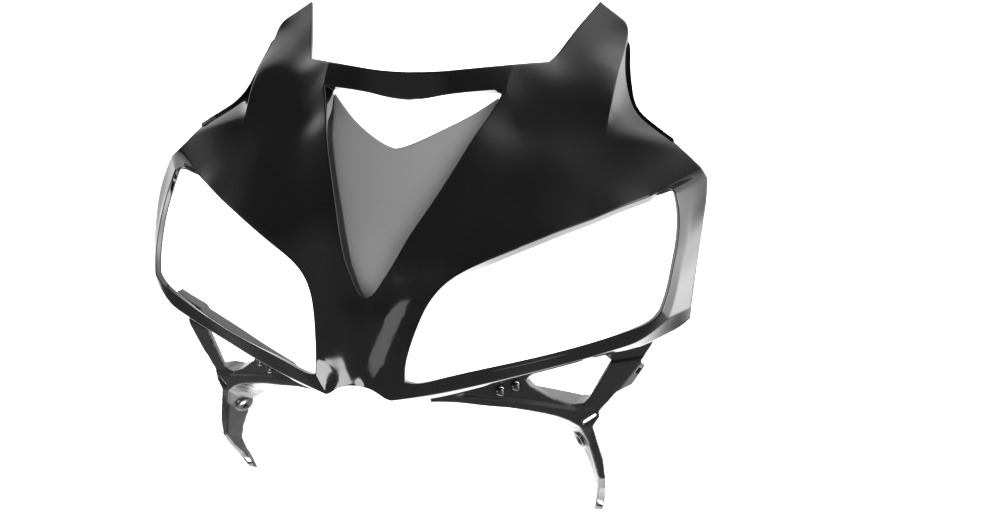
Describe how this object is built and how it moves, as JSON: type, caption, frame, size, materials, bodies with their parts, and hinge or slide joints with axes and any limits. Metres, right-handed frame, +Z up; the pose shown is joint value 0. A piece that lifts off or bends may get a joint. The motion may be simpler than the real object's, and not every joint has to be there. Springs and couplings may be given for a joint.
{
  "type": "motorcycle front fairing",
  "caption": "Gloss black upper front fairing for a sports motorcycle, with headlight openings, a duct floor and lower brackets.",
  "frame": {"origin": "centre of the whole part's bounding box, on its plane of symmetry", "axes": "+X to the right as seen from the front, +Y to the rear of the motorcycle, +Z up"},
  "size_m": [0.4506, 0.2362, 0.3714],
  "materials": {
    "gloss_black_shell": "gloss black moulded plastic",
    "grey_panel": "satin dark grey moulded plastic",
    "black_bracket": "semi-matte black moulded plastic",
    "black_rivet": "semi-matte black moulded plastic"
  },
  "bodies": {
    "root": {"cowl": "gloss_black_shell", "duct_floor": "grey_panel", "left_bracket": "black_bracket", "right_bracket": "black_bracket", "left_inner_rivet": "black_rivet", "left_outer_rivet": "black_rivet", "right_inner_rivet": "black_rivet", "right_outer_rivet": "black_rivet"}
  },
  "joints": []
}
